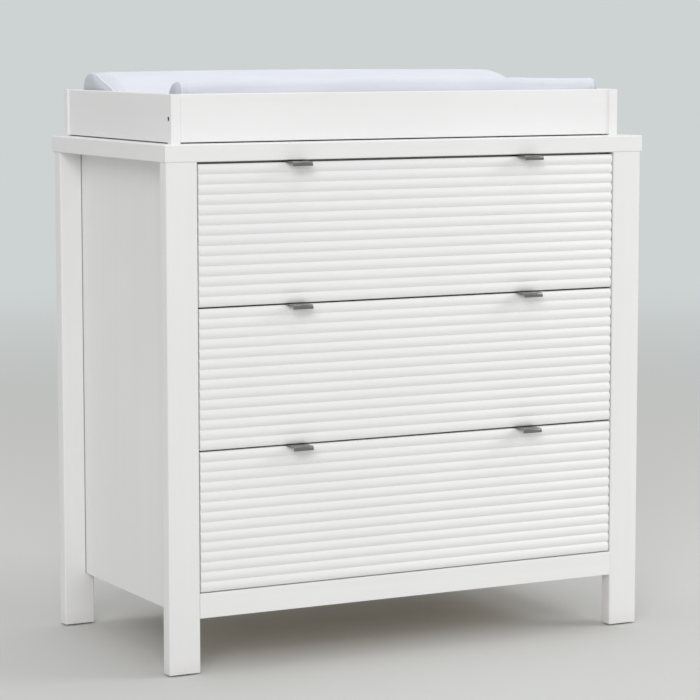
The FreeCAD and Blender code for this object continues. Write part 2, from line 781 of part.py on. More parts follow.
def tray_plates(name):
    """Two steel plates that tie the tray's back board to the rear edge of the slab."""
    body = new_body(name, 0, SLAB_REAR, SLAB_TOP)
    half = S["tray_plate_width"] / 2
    middle = S["tray_plate_offset"]
    low = -S["tray_plate_drop"]
    sketch = sketch_on(body, "XZ_Plane")
    corners = box_corners(middle - half, low, middle + half, low + S["tray_plate_height"])
    draw_outline(sketch, corners)
    draw_circles(sketch, [(middle, LOWER_PLATE_SCREW), (middle, UPPER_PLATE_SCREW)], SCREW_HOLE)
    plate = pad(body, sketch, "XZ_Plane", S["tray_plate_thickness"])
    mirrored_pair(body, plate)
    dress(body, "Chamfer", edges_along(body, 1), S["tray_plate_corner"])
    return body


def plate_screws(name):
    members = []
    rear = SLAB_REAR + S["tray_plate_thickness"]
    for word, side in SIDES.items():
        for row, height in (("lower", LOWER_PLATE_SCREW), ("upper", UPPER_PLATE_SCREW)):
            members.append(screw(f"{name}_{word}_{row}", S["plate_screw_length"],
                                 -side * S["tray_plate_offset"], rear, SLAB_TOP + height,
                                 (0, -1, 0)))
    return group(name, members)


# ---- changing pad ----

def pad_section(body, x, drop, inset):
    """One upright slice of the pad: a narrow hump in front, a wider one behind and a valley
    between them, with every side bowed."""
    rear = PAD_HALF_DEPTH - S["pad_side_bow"] - inset
    front = -rear
    foot = S["pad_foot_inset"]
    shoulder = S["pad_side_height"] - drop
    corners = [
        (rear - foot, as_size(0)),
        (rear, shoulder),
        (rear - S["pad_rear_crest"], S["pad_rear_height"] - drop),
        (rear - S["pad_rear_hump"], S["pad_rear_hump_height"] - drop),
        (front + S["pad_front_hump"], S["pad_front_hump_height"] - drop),
        (front + S["pad_front_crest"], S["pad_front_height"] - drop),
        (front, shoulder),
        (front + foot, as_size(0)),
    ]
    side, round_over, crest = S["pad_side_bow"], S["pad_shoulder_bow"], S["pad_crest_bow"]
    bows = [side, round_over, crest, S["pad_valley_sag"], crest, round_over, side]
    valley = bows.index(S["pad_valley_sag"])
    arcs = {number: bowed(corners[number], corners[number + 1], bow, -1 if number == valley else 1)
            for number, bow in enumerate(bows)}
    sketch = sketch_on(body, "YZ_Plane", x)
    draw_outline(sketch, corners, arcs)
    return sketch


def changing_pad(name):
    """The contoured pad: its slice lofted from end to end, rounded off and drawn in at both
    ends and a little crowned in the middle."""
    body = new_body(name, 0, PAD_MIDDLE, SLAB_TOP)
    ends = []
    for step in PAD_END_STEPS:
        fall = 1 - (1 - (1 - step) ** 2) ** 0.5
        ends.append((PAD_HALF_LENGTH - step * S["pad_end_round"], fall * S["pad_end_drop"],
                     fall * S["pad_end_inset"]))
    stations = [(-x, drop, inset) for x, drop, inset in ends]
    stations.append((0, -S["pad_crown"], -S["pad_crown"] / 2))
    stations += reversed(ends)
    sections = [pad_section(body, *station) for station in stations]
    loft = body.newObject("PartDesign::AdditiveLoft", f"{body.Name}_loft")
    loft.Profile = (sections[0], [""])
    loft.Sections = [(section, [""]) for section in sections[1:]]
    loft.Ruled = True
    body.Tip = loft
    doc.recompute()
    return body


# ---- the whole dresser ----

def build_carcass():
    parts = [leg(f"{end}_{side}_leg", SIDES[side], ENDS[end]) for end in ENDS for side in SIDES]
    parts += [side_panel(f"{side}_side_panel", SIDES[side]) for side in SIDES]
    parts += rails()
    parts += [back_panel("back_panel"), top_slab("top_slab"), leg_glides("leg_glides")]
    return parts


def build_drawer(word, level):
    parts = [drawer_front(f"{word}_drawer_front", level),
             drawer_back(f"{word}_drawer_back", level),
             drawer_bottom(f"{word}_drawer_bottom", level),
             drawer_pulls(f"{word}_drawer_pulls", level)]
    for side, way in SIDES.items():
        parts.append(drawer_side(f"{word}_drawer_{side}_side", way, level))
        parts.append(drawer_slide(f"{word}_{side}_drawer_slide", way, level))
        parts.append(cabinet_slide(f"{word}_{side}_cabinet_slide", way, level))
    cabinet_y = SLIDE_FRONT + S["roller_from_end"]
    drawer_y = FRONT_BACK + SLIDE_LENGTH - S["roller_from_end"]
    parts.append(rollers(f"{word}_cabinet_rollers", cabinet_y,
                         box_bottom(level) + CABINET_AXIS, CABINET_ROLLER))
    parts.append(rollers(f"{word}_drawer_rollers", drawer_y,
                         box_bottom(level) + DRAWER_AXIS, DRAWER_ROLLER))
    return parts


def build_tray():
    parts = [tray_side_board(f"tray_{side}_board", SIDES[side]) for side in SIDES]
    parts += [tray_front_board("tray_front_board"), tray_back_board("tray_back_board"),
              tray_screws("tray_screws"), tray_plates("tray_plates"),
              plate_screws("plate_screws"), changing_pad("changing_pad")]
    return parts


def check_document(parts):
    """Stops on any failed feature and on any piece that is empty or not sound."""
    for item in doc.Objects:
        if {"Invalid", "Error"} & set(item.State):
            raise RuntimeError(f"{item.Label} failed: {item.State}")
    for part in parts:
        if part.Shape.isNull() or not part.Shape.isValid() or not part.Shape.Solids:
            raise RuntimeError(f"{part.Label} has no sound solid")


def export(parts):
    os.makedirs("parts", exist_ok=True)
    for part in parts:
        part.Shape.exportStep(f"parts/{part.Label}.step")


all_parts = build_carcass()
for level_number, level_word in enumerate(LEVELS):
    all_parts += build_drawer(level_word, level_number)
all_parts += build_tray()
doc.recompute()
check_document(all_parts)
export(all_parts)
print(f"{len(all_parts)} pieces written")
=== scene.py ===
import json
import math

import bmesh
import bpy
import numpy as np
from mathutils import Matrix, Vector

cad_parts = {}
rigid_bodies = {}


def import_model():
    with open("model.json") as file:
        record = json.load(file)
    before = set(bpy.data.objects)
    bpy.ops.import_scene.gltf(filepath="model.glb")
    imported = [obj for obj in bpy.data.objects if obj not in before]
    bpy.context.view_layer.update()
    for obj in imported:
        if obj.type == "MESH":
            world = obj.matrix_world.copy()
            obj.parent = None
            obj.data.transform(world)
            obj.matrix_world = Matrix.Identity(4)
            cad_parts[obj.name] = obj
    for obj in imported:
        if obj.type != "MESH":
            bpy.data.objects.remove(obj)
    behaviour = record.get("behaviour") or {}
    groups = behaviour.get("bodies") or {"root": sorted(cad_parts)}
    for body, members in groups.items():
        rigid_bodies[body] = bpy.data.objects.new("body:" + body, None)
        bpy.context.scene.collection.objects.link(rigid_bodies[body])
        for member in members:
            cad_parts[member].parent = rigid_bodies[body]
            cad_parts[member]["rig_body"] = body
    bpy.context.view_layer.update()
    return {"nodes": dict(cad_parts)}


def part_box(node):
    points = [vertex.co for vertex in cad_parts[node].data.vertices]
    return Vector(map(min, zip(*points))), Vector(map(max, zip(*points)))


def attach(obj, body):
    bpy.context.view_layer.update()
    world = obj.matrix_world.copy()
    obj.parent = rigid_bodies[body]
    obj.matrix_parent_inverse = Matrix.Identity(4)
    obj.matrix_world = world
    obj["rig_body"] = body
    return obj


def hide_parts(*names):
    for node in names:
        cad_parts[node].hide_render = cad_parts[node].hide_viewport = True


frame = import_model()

bl_info = {
    "name": "Changing dresser",
    "version": (1, 0, 0),
    "blender": (4, 5, 0),
    "location": "3D View > Sidebar > Dresser",
    "description": "Dresses the three-drawer changing dresser: paint, boards, hardware and pad",
    "category": "Object",
}

MM = 0.001
X, Y, Z = 0, 1, 2
LEVELS = ("bottom", "middle", "top")
SIDES = ("left", "right")
NEAR = MM / 100  # what lies closer than this touches
DOUBLE = MM / 1000  # corners closer than this are one corner


def tone(red, green, blue):
    """The linear colour of a shade as a screen shows it, each channel from 0 to 255."""
    shades = [channel / 255 for channel in (red, green, blue)]
    return tuple(s / 12.92 if s <= 0.04045 else ((s + 0.055) / 1.055) ** 2.4 for s in shades)


def dim(colour, share):
    """A colour made darker or lighter by a plain factor."""
    return tuple(channel * share for channel in colour)


# ---- sizes and colours a user may change ----

def choice(kind, **fixed):
    """A function that declares a setting by its name, its description and its default."""
    return lambda name, description, default: kind(name=name, description=description,
                                                   default=default, **fixed)


colour_choice = choice(bpy.props.FloatVectorProperty, size=3, min=0.0, max=1.0,
                       subtype="COLOR")
length_choice = choice(bpy.props.FloatProperty, min=0.0, precision=5, unit="LENGTH")
share_choice = choice(bpy.props.FloatProperty, min=0.0, max=1.0, subtype="FACTOR")
power_choice = choice(bpy.props.FloatProperty, min=0.0, unit="POWER")


class PaintSettings(bpy.types.PropertyGroup):
    """The white paint of the case, drawer fronts and tray."""
    colour: colour_choice("Colour", "Colour of the paint", tone(238, 238, 238))
    roughness: share_choice("Roughness", "How dull the satin paint is", 0.42)
    peel: length_choice("Peel", "Depth of the sprayed paint's fine ripple", 0.035 * MM)
    grain: length_choice("Grain", "Depth of the grain that shows through the paint", 0.03 * MM)


class BoardSettings(bpy.types.PropertyGroup):
    """The boards of the drawer boxes and the case's back panel."""
    side: colour_choice("Drawer sides", "Colour of the drawer sides and backs",
                        tone(226, 204, 170))
    bottom: colour_choice("Drawer bottoms", "Colour of the drawer bottoms", tone(229, 211, 181))
    back: colour_choice("Back panel", "Colour of the case's back panel", tone(228, 226, 221))
    ply: length_choice("Ply", "Thickness of one layer of the plywood", 1.7 * MM)


class MetalSettings(bpy.types.PropertyGroup):
    """Pulls, slides, tray plates and screws."""
    pull: colour_choice("Pulls", "Colour of the satin pulls", (0.25, 0.243, 0.235))
    slide: colour_choice("Slides", "Colour of the powder coat on the slides",
                         tone(233, 232, 225))
    zinc: colour_choice("Zinc", "Colour of the zinc plating", (0.62, 0.62, 0.60))
    bolt: colour_choice("Bolts", "Colour of the black zinc on the tray's screws",
                        (0.05, 0.05, 0.053))
    edge: length_choice("Edge", "Rounding of the pulls' edges", 0.3 * MM)


class PlasticSettings(bpy.types.PropertyGroup):
    """Slide rollers and leg glides."""
    roller: colour_choice("Rollers", "Colour of the nylon rollers", tone(236, 236, 232))
    glide: colour_choice("Glides", "Colour of the glides under the legs", tone(124, 124, 122))


class FrontSettings(bpy.types.PropertyGroup):
    """The reeded drawer fronts."""
    reeds: bpy.props.IntProperty(name="Reeds", description="Reeds across one front",
                                 default=14, min=1)
    depth: length_choice("Depth", "How far a reed stands out of the grooves beside it", 3 * MM)
    arris: length_choice("Arris", "Width of the softened edges", 0.7 * MM)


class PadSettings(bpy.types.PropertyGroup):
    """The contoured changing pad."""
    colour: colour_choice("Colour", "Colour of the cover", tone(223, 226, 235))
    voxel: length_choice("Mesh", "Size of one cell of the cover's mesh", 6 * MM)
    rim: length_choice("Rim", "Rounding of the pad's ends", 7 * MM)
    slack: length_choice("Slack", "How far inside the CAD pad the cover starts", 1.2 * MM)
    swell: length_choice("Swell", "How far the cover may swell", 2.7 * MM)
    welt: length_choice("Welt", "Radius of the sewn seam's welt", 1.3 * MM)
    seam: length_choice("Seam", "Distance of the end seams from the ends", 12 * MM)
    fold: length_choice("Fold", "Depth of the gathers beside the end seams", 1.5 * MM)
    dip: length_choice("Dip", "How far the rear hump's slope falls at the left end", 14 * MM)


class StudioSettings(bpy.types.PropertyGroup):
    """Floor, backdrop and lamps."""
    floor: colour_choice("Floor", "Colour of the floor", tone(210, 210, 208))
    backdrop: colour_choice("Backdrop", "Colour behind the dresser", tone(205, 211, 210))
    ambient: bpy.props.FloatProperty(name="Ambient", description="Strength of the even light",
                                     default=0.55, min=0.0)
    key: power_choice("Key", "Power of the lamp on the right", 46.0)
    fill: power_choice("Fill", "Power of the far lamp in front", 1104.0)
    top: power_choice("Top", "Power of the lamp overhead", 36.0)


# ---- finishes ----

class Value:
    """A number that changes over a surface. A sum written on it adds Math nodes."""

    def __init__(self, nodes, socket):
        self.nodes = nodes
        self.socket = socket

    def __add__(self, other):
        return self.nodes.math("ADD", self, other)

    def __sub__(self, other):
        return self.nodes.math("SUBTRACT", self, other)

    def __rsub__(self, other):
        return self.nodes.math("SUBTRACT", other, self)

    def __mul__(self, other):
        return self.nodes.math("MULTIPLY", self, other)

    def __pow__(self, other):
        return self.nodes.math("POWER", self, other)

    def __abs__(self):
        return self.nodes.math("ABSOLUTE", self)

    __radd__ = __add__
    __rmul__ = __mul__

    def sine(self):
        return self.nodes.math("SINE", self)

    def ramp(self, low, high):
        """0 below low, 1 above high and smooth between; high may be the lower one."""
        made = self.nodes.node("MapRange", {"Value": self, "From Min": low, "From Max": high},
                               interpolation_type="SMOOTHSTEP")
        return Value(self.nodes, made.outputs[0])

    def spread(self):
        """Noise drawn out to its full range: most of it lies between 0.3 and 0.7."""
        return self.ramp(0.3, 0.7)


class Nodes:
    """A node tree and the ways to add to it."""

    def __init__(self, tree):
        self.tree = tree

    def feed(self, made, sockets):
        """Sets or links the sockets of a node."""
        for key, value in sockets.items():
            socket = made.inputs[key]
            if isinstance(value, Value):
                self.tree.links.new(value.socket, socket)
            elif isinstance(value, bpy.types.NodeSocket):
                self.tree.links.new(value, socket)
            elif socket.type == "RGBA":
                socket.default_value = (*value, 1.0)
            else:
                socket.default_value = value

    def node(self, kind, sockets=None, **settings):
        """Adds a shader node: its settings first, then the values or links of its sockets."""
        made = self.tree.nodes.new(f"ShaderNode{kind}")
        for name, value in settings.items():
            setattr(made, name, value)
        self.feed(made, sockets or {})
        return made

    def math(self, operation, *terms):
        """One Math node."""
        made = self.node("Math", dict(enumerate(terms)), operation=operation)
        return Value(self, made.outputs[0])


class Finish(Nodes):
    """A procedural material."""

    def __init__(self, name, constants=None):
        self.material = bpy.data.materials.new(name)
        self.material.use_nodes = True
        super().__init__(self.material.node_tree)
        self.shader = self.tree.nodes["Principled BSDF"]
        self.feed(self.shader, constants or {})

    def place(self, stretch=(1.0, 1.0, 1.0)):
        """The point on the object, stretched along its axes."""
        source = self.node("TexCoord").outputs["Object"]
        return self.node("Mapping", {"Vector": source, "Scale": stretch}).outputs[0]

    def along(self, axis):
        """The distance along one axis, in metres."""
        parts = self.node("SeparateXYZ", {0: self.place()})
        return Value(self, parts.outputs[axis])

    def facing(self, axis):
        """1 where the surface faces along the axis, either way, and 0 across it."""
        normal = self.node("NewGeometry").outputs["Normal"]
        parts = self.node("SeparateXYZ", {0: normal})
        return abs(Value(self, parts.outputs[axis]))

    def noise(self, scale=1.0, detail=2.0, stretch=(1.0, 1.0, 1.0), twist=0.0):
        """Soft noise from 0 to 1, finer as the scale grows."""
        made = self.node("TexNoise", {"Vector": self.place(stretch), "Scale": scale,
                                      "Detail": detail, "Roughness": 0.55,
                                      "Distortion": twist})
        return Value(self, made.outputs[0])

    def cells(self, scale):
        """A number from 0 to 1 for each cell of a crystal-like pattern."""
        made = self.node("TexVoronoi", {"Vector": self.place(), "Scale": scale}, feature="F1")
        parts = self.node("SeparateColor", {0: made.outputs["Color"]})
        return Value(self, parts.outputs[0])

    def mix(self, share, first, second):
        """The first colour with a share of the second."""
        made = self.node("Mix", {0: share, 6: first, 7: second}, data_type="RGBA")
        return made.outputs[2]

    def bump(self, height, depth, under=None):
        """A bump of a real depth for heights from 0 to 1, over another one if given."""
        sockets = {"Height": height, "Distance": depth}
        if under is not None:
            sockets["Normal"] = under
        return self.node("Bump", sockets).outputs[0]

    def surface(self, colour, roughness, normal):
        """Links what varies to the shader and hands over the material."""
        self.feed(self.shader, {"Base Color": colour, "Roughness": roughness,
                                "Normal": normal})
        return self.material


def lengthwise(axis, across, along):
    """A stretch that draws a pattern out along one axis."""
    stretch = [across] * 3
    stretch[axis] = along
    return stretch


def satin_paint(name, axis, joint=None):
    """Sprayed satin paint over board whose grain runs along one axis. A joint shade gives the
    share of the surface, from 0 to 1, that is painted dark as painted shade in the open line
    where another board is let in."""
    look = bpy.context.scene.dresser_paint
    finish = Finish(name, {"Specular IOR Level": 0.4})
    grain = finish.noise(detail=5.0, stretch=lengthwise(axis, 60.0, 1.8), twist=0.4)
    cloud = finish.noise(scale=3.1)
    peel = finish.noise(scale=420.0, detail=1.0)
    shade = (cloud * 0.6 + grain * 0.4).spread()
    colour = finish.mix(shade, dim(look.colour, 0.965), look.colour)
    near_floor = finish.along(Z).ramp(30 * MM, 0.0)
    scuffs = near_floor * 0.35 * finish.noise(scale=90.0, detail=4.0)
    colour = finish.mix(scuffs, colour, tone(196, 190, 182))
    # painted shade: a dark line standing for the shade in the open line beside a let-in board
    if joint is not None:
        colour = finish.mix(joint(finish), colour, dim(look.colour, 0.3))
    roughness = look.roughness + 0.12 * (cloud - 0.5) + 0.06 * (peel - 0.5)
    normal = finish.bump(grain, look.grain)
    return finish.surface(colour, roughness, finish.bump(peel, look.peel, normal))


def plywood(name, axis, colour, edges):
    """Clear-coated pale plywood with its grain along one axis. Each of the edges is a pair:
    the axis that the layers lie across, and the one that the edge faces along."""
    look = bpy.context.scene.dresser_boards
    finish = Finish(name, {"Specular IOR Level": 0.35})
    figure = finish.noise(detail=3.0, stretch=lengthwise(axis, 13.0, 0.9), twist=1.2)
    rings = (figure * 46.0).sine() * 0.5 + 0.5
    pores = finish.noise(detail=4.0, stretch=lengthwise(axis, 900.0, 26.0))
    fleck = pores.ramp(0.58, 0.72)
    shade = finish.mix(rings * 0.55 + figure * 0.3, colour, dim(colour, 0.80))
    shade = finish.mix(fleck * 0.5, shade, tone(176, 142, 102))
    for across, way in edges:
        layer = (finish.along(across) * (math.pi / look.ply)).sine().ramp(-0.2, 0.2)
        dark = finish.facing(way).ramp(0.6, 0.8) * layer * 0.7
        shade = finish.mix(dark, shade, tone(168, 128, 86))
    roughness = 0.5 + 0.12 * (figure - 0.5) + 0.1 * fleck
    return finish.surface(shade, roughness, finish.bump(1 - fleck, 0.05 * MM))


def faced_hardboard(name):
    """White-faced hardboard: flat, a little dusty, with the fibres pressed into it."""
    look = bpy.context.scene.dresser_boards
    finish = Finish(name, {"Specular IOR Level": 0.3})
    fibres = finish.noise(scale=240.0, detail=4.0, stretch=(1.0, 1.0, 0.35), twist=0.8)
    cloud = finish.noise(scale=2.4, detail=3.0)
    shade = (cloud * 0.6 + fibres * 0.4).spread()
    colour = finish.mix(shade, dim(look.back, 0.93), look.back)
    roughness = 0.55 + 0.15 * (cloud - 0.5)
    return finish.surface(colour, roughness, finish.bump(fibres, 0.04 * MM))


def satin_metal(name):
    """Dark satin metal, brushed along the pull."""
    look = bpy.context.scene.dresser_metal
    finish = Finish(name, {"Metallic": 1.0})
    brush = finish.noise(detail=3.0, stretch=lengthwise(X, 5200.0, 60.0))
    cloud = finish.noise(scale=90.0)
    colour = finish.mix(brush * 0.6 + cloud * 0.4, dim(look.pull, 0.86), dim(look.pull, 1.14))
    roughness = 0.3 + 0.12 * (brush - 0.5) + 0.1 * (cloud - 0.5)
    return finish.surface(colour, roughness, finish.bump(brush, 0.012 * MM))


def powder_coat(name):
    """Off-white powder coat: fine pebbles and a few rubbed places."""
    look = bpy.context.scene.dresser_metal
    finish = Finish(name, {"Specular IOR Level": 0.45})
    pebbles = finish.noise(scale=1500.0, detail=1.0)
    streaks = finish.noise(detail=4.0, stretch=lengthwise(Y, 260.0, 9.0))
    rubbed = streaks.ramp(0.62, 0.75)
    colour = finish.mix(rubbed * 0.35, look.slide, tone(188, 186, 180))
    return finish.surface(colour, 0.38 + 0.12 * rubbed, finish.bump(pebbles, 0.02 * MM))


def zinc_plate(name, plate=None):
    """Zinc, bright unless a colour is given, with the faint bloom and cells of the plating."""
    plate = plate or bpy.context.scene.dresser_metal.zinc
    finish = Finish(name, {"Metallic": 1.0})
    cells = finish.cells(scale=700.0)
    bloom = finish.noise(scale=160.0, detail=3.0)
    colour = finish.mix(cells * 0.5 + bloom * 0.5, dim(plate, 0.88), dim(plate, 1.12))
    return finish.surface(colour, 0.3 + 0.2 * bloom, finish.bump(bloom, 0.015 * MM))


def moulded_plastic(name, colour, roughness):
    """Moulded plastic with a spark-eroded surface and faint flow marks."""
    finish = Finish(name, {"Specular IOR Level": 0.45})
    pits = finish.noise(scale=1900.0, detail=1.0)
    flow = finish.noise(scale=70.0, twist=1.5)
    shade = finish.mix(flow.spread(), dim(colour, 0.94), colour)
    return finish.surface(shade, roughness + 0.12 * (flow - 0.5), finish.bump(pits, 0.02 * MM))


def woven_cover(name, thread, ends=None):
    """The pad's fine woven cover: crossing threads, a soft nap and shallow creases, and painted
    shade that darkens the long sides, which face front and back. Past ends, a distance from the
    middle, it is the duller cloth of the end panels."""
    finish = Finish(name, {"Specular IOR Level": 0.25, "Sheen Weight": 0.22,
                           "Sheen Roughness": 0.45})
    thread_pitch = 0.9 * MM
    turn = 2 * math.pi / thread_pitch
    long_way = finish.along(X) * turn
    round_way = (finish.along(Y) + finish.along(Z)) * turn
    threads = long_way.sine() * round_way.sine() * 0.5 + 0.5
    nap = finish.noise(scale=900.0, detail=3.0)
    cloud = finish.noise(scale=14.0, detail=4.0, stretch=(0.5, 1.0, 1.0), twist=0.6)
    shade = (cloud * 0.7 + nap * 0.3).spread()
    colour = finish.mix(shade, dim(thread, 0.95), thread)
    colour = finish.mix(threads * 0.12, colour, dim(thread, 0.86))
    # painted shade: where the cover faces front or back it is darkened, as if less lit
    painted_side_shade = finish.facing(Y).ramp(0.2, 0.9)
    colour = finish.mix(painted_side_shade * 0.1, colour, dim(thread, 0.3))
    if ends is not None:
        past = abs(finish.along(X)).ramp(ends - MM / 2, ends + MM / 2)
        colour = finish.mix(past, colour, dim(thread, 0.74))
    creases = finish.noise(scale=26.0, detail=3.0, stretch=(0.45, 1.0, 1.0), twist=1.0)
    normal = finish.bump(creases, 1.1 * MM)
    normal = finish.bump(threads * 0.7 + nap * 0.3, 0.08 * MM, normal)
    return finish.surface(colour, 0.82 + 0.1 * (nap - 0.5), normal)


def give(finish, *names):
    """Puts a finish on CAD nodes that keep their own shape."""
    for name in names:
        for place in frame["nodes"][name].material_slots:
            place.material = finish


# ---- modelling by hand ----

def fresh():
    """Object mode, with nothing selected."""
    if bpy.context.object is not None and bpy.context.object.mode != "OBJECT":
        bpy.ops.object.mode_set(mode="OBJECT")
    bpy.ops.object.select_all(action="DESELECT")


def take(*objects):
    """Selects these objects alone and makes the first the active one."""
    fresh()
    for each in objects:
        each.select_set(True)
    bpy.context.view_layer.objects.active = objects[0]


def edit(obj):
    """Edit mode, with all of an object's corners selected."""
    take(obj)
    bpy.ops.object.mode_set(mode="EDIT")
    bpy.ops.mesh.select_mode(type="VERT")
    bpy.ops.mesh.select_all(action="SELECT")


def choose(kind, wanted):
    """In edit mode, selects only the vertices, edges or faces that are wanted."""
    bpy.ops.mesh.select_mode(type=kind)
    bpy.ops.mesh.select_all(action="DESELECT")
    data = bpy.context.object.data
    mesh = bmesh.from_edit_mesh(data)
    for each in {"VERT": mesh.verts, "EDGE": mesh.edges, "FACE": mesh.faces}[kind]:
        if wanted(each):
            each.select_set(True)
    bmesh.update_edit_mesh(data)


def middle(part):
    """The middle of a bmesh edge or face."""
    return sum((v.co for v in part.verts), Vector()) / len(part.verts)


def open_edge(edge):
    """Whether a bmesh edge has a face on one side only."""
    return len(edge.link_faces) == 1


def named(obj, name):
    """Gives an object and its data one name."""
    obj.name = name
    obj.data.name = name
    return obj


def modify(obj, kind, **settings):
    """Adds a modifier and applies it."""
    take(obj)
    made = obj.modifiers.new(kind.title(), kind)
    for key, value in settings.items():
        setattr(made, key, value)
    bpy.ops.object.modifier_apply(modifier=made.name)


def outward(obj):
    """Merges doubles and turns the faces outwards."""
    edit(obj)
    bpy.ops.mesh.remove_doubles(threshold=DOUBLE)
    bpy.ops.mesh.normals_make_consistent(inside=False)
    fresh()
    return obj


def smooth(obj, degrees):
    """Shades an object smooth, apart from edges sharper than an angle."""
    take(obj)
    bpy.ops.object.shade_smooth_by_angle(angle=math.radians(degrees))
    return obj


def copy_of(obj, name):
    """A copy with its own mesh."""
    take(obj)
    bpy.ops.object.duplicate(linked=False)
    made = bpy.context.object
    made.parent = None
    return named(made, name)


def put(obj, place, turn=(0.0, 0.0, 0.0)):
    """Turns a piece about the origin, moves it to its place and keeps that in its mesh."""
    take(obj)
    obj.rotation_euler = turn
    obj.location = place
    bpy.ops.object.transform_apply(location=True, rotation=True, scale=True)
    return obj


def solid_copy(node, name):
    """A copy of a CAD node's loose triangles, merged into one solid mesh."""
    made = copy_of(frame["nodes"][node], name)
    bpy.ops.mesh.customdata_custom_splitnormals_clear()
    return outward(made)


def joined(name, members):
    """The members as one object."""
    take(*members)
    bpy.ops.object.join()
    return named(bpy.context.object, name)


def finished(piece, body, slot, finish, *nodes):
    """Gives a piece its finish and its body, and hides the nodes it stands for. The slot is not
    used.
    """
    piece.data.materials.clear()
    piece.data.materials.append(finish)
    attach(piece, body)
    if nodes:
        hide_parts(*nodes)


def added(kind, name, **sizes):
    """A new plane, circle, cube or cylinder."""
    fresh()
    getattr(bpy.ops.mesh, f"primitive_{kind}_add")(**sizes)
    return named(bpy.context.object, name)


def point(name, place):
    """A new mesh of one vertex, in edit mode, to be drawn out."""
    edit(added("plane", name, size=MM))
    bpy.ops.mesh.merge(type="CENTER")
    bpy.ops.mesh.select_all(action="SELECT")
    bpy.ops.transform.translate(value=place)
    return bpy.context.object


def draw_out(step):
    """Extrudes what is selected by a step."""
    bpy.ops.mesh.extrude_region_move(TRANSFORM_OT_translate={"value": step})


def turned(name, rings, sides, bored=False):
    """A piece turned about the Z axis. Each ring is a radius and a height in millimetres; a
    bored piece's last ring meets its first one."""
    rings = [(radius * MM, height * MM) for radius, height in rings]
    radius, height = rings[0]
    piece = added("circle", name, vertices=sides, radius=radius, fill_type="NOTHING")
    edit(piece)
    bpy.ops.transform.translate(value=(0, 0, height))
    if not bored:
        bpy.ops.mesh.edge_face_add()
        choose("EDGE", lambda edge: True)
    for ring, level in rings[1:]:
        bpy.ops.mesh.extrude_edges_move(TRANSFORM_OT_translate={"value": (0, 0, level - height)})
        share = ring / radius
        bpy.ops.transform.resize(value=(share, share, 1), center_override=(0, 0, level))
        radius, height = ring, level
    if bored:
        choose("EDGE", open_edge)
        bpy.ops.mesh.bridge_edge_loops()
    else:
        bpy.ops.mesh.edge_face_add()
    return outward(piece)


def cut(piece, cutter):
    """Takes the cutter's shape out of a piece and removes the cutter."""
    modify(piece, "BOOLEAN", operation="DIFFERENCE", object=cutter, solver="EXACT")
    bpy.data.objects.remove(cutter)


def cross_recess(screw, length, width, height, depth):
    """Cuts a cross recess into a screw's head. Sizes are in millimetres; the height is that of
    the recess's middle."""
    for along, across in ((length, width), (width, length)):
        cut(screw, added("cube", "cutter", size=1, location=(0, 0, height * MM),
                         scale=(along * MM, across * MM, depth * MM)))


def frame_body(node):
    """The name of the body a CAD node rides on."""
    return frame["nodes"][node]["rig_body"]


def solids_of(node):
    """The box of each separate solid of a node, from a merged copy of its mesh."""
    whole = solid_copy(node, "solids")
    edit(whole)
    bpy.ops.mesh.separate(type="LOOSE")
    fresh()
    parts = [o for o in bpy.context.scene.objects if o.name.startswith("solids")]
    boxes = []
    for part in parts:
        corners = np.array([v.co[:] for v in part.data.vertices])
        boxes.append((Vector(corners.min(0)), Vector(corners.max(0))))
        bpy.data.objects.remove(part)
    return sorted(boxes, key=lambda box: tuple(box[0]))


# ---- operators, one to a group of like pieces ----

class DRESSER_OT_paint_case(bpy.types.Operator):
    """Paints the legs, panels, rails, slab and tray boards white"""
    bl_idname = "dresser.paint_case"
    bl_label = "Paint case and tray"

    def execute(self, context):
        give(satin_paint("paint_upright", Z), "front_left_leg", "front_right_leg",
             "rear_left_leg", "rear_right_leg", "left_side_panel", "right_side_panel")
        give(satin_paint("paint_across", X), "front_bottom_rail", "rear_bottom_rail",
             "front_top_stretcher", "rear_top_stretcher", "top_slab", "tray_front_board",
             "tray_back_board")
        give(satin_paint("paint_deep", Y), "tray_left_board", "tray_right_board")
        return {"FINISHED"}


class DRESSER_OT_ease_feet(bpy.types.Operator):
    """Rounds the foot of each leg, as the sanded board legs are"""
    bl_idname = "dresser.ease_feet"
    bl_label = "Ease the feet of the legs"
    ROUNDING = 2.2 * MM
    SHARP = 1.0  # radian between the faces of an edge to be rounded
    # LINE and its fades place a painted shade line: dark paint standing for the shade in the
    # open line beside the side panel
    LINE = 0.7 * MM  # from the panel's outer face to the open line's middle
    LINE_FADES = (1.0 * MM, 0.6 * MM)  # from there, where the line is gone and where it is full
    LINE_ENDS = (3 * MM, 2 * MM)  # the same past the panel's edges

    def execute(self, context):
        # the legs' paint carries a painted shade line beside the side panels
        finish = satin_paint("paint_legs", Z, self.panel_line_shade)
        for place in ("front_left", "front_right", "rear_left", "rear_right"):
            node = f"{place}_leg"
            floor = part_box(node)[0].z
            leg = solid_copy(node, f"{place}_eased_leg")
            edit(leg)
            choose("EDGE", lambda edge: all(v.co.z < floor + NEAR for v in edge.verts)
                   and edge.calc_face_angle(0) > self.SHARP)
            bpy.ops.mesh.bevel(offset=self.ROUNDING, segments=4, affect="EDGES",
                               clamp_overlap=True)
            outward(leg)
            smooth(leg, degrees=30)
            finished(leg, "case", "painted_wood", finish, node)
        return {"FINISHED"}

    def panel_line_shade(self, finish):
        """Painted shade for the open line on a leg beside the side panel that is let into it:
        the line is painted dark, as shade would darken it.
        """
        low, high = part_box("left_side_panel")
        beside = abs(abs(finish.along(X)) + low.x - self.LINE).ramp(*self.LINE_FADES)
        ends = [high.y + past for past in self.LINE_ENDS]
        between = abs(finish.along(Y)).ramp(*ends)
        return beside * between * finish.along(Z).ramp(low.z - MM, low.z)


